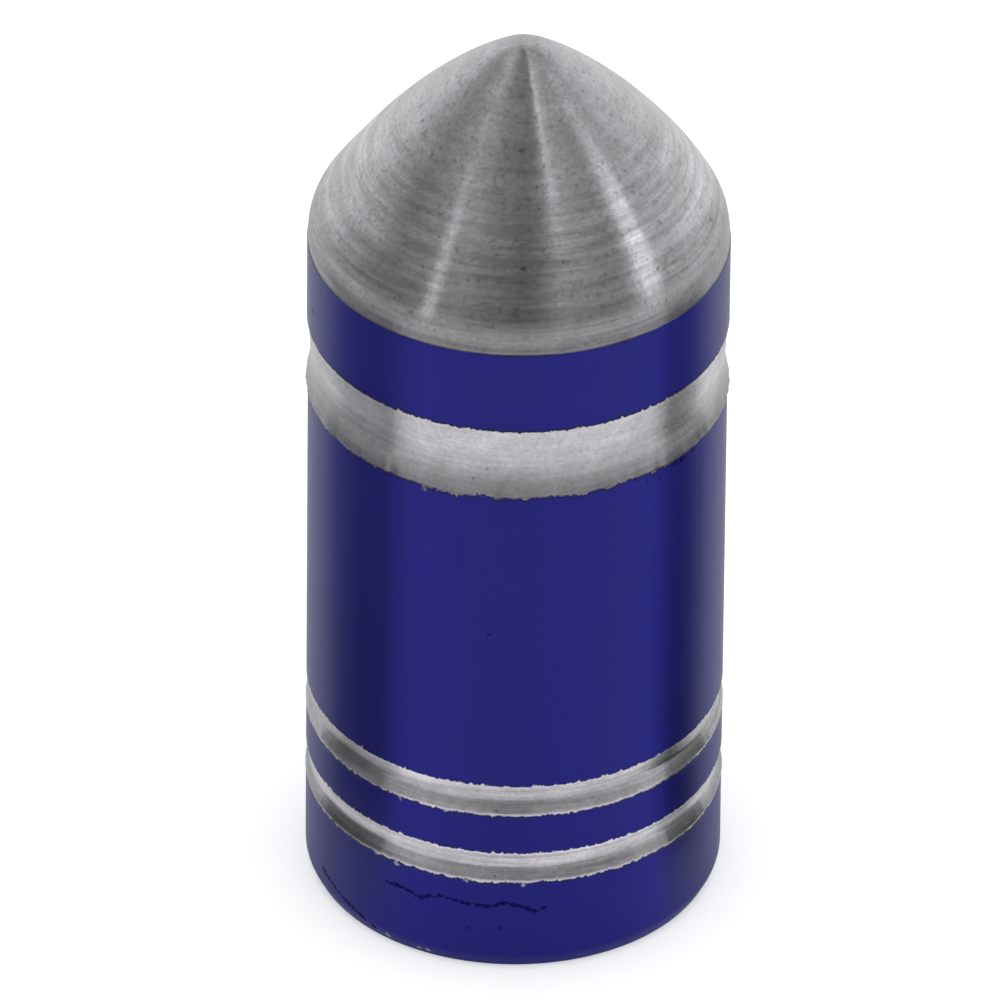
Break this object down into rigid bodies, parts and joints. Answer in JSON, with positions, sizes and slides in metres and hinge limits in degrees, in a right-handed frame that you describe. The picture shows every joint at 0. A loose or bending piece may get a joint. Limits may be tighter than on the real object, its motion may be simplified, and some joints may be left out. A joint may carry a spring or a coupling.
{
  "type": "tyre valve cap",
  "caption": "Bullet-shaped turned metal cap with a dyed barrel, bare bands and nose, a blind threaded bore for a valve stem and a rubber seal inside.",
  "frame": {"origin": "centre of the open mouth's rim, on the bore's axis, in the plane of the rim that the cap stands on", "axes": "+Z along the bore from the mouth up to the nose; the outside is round, so X and Y are free"},
  "size_m": [0.0102, 0.0102, 0.0234],
  "materials": {
    "dyed_aluminium": "blue anodised barrel, with the nose and three bands turned back to bare satin metal",
    "seal_rubber": "matte"
  },
  "bodies": {
    "root": {"cap_body": "dyed_aluminium", "seal_ring": "seal_rubber"}
  },
  "joints": []
}
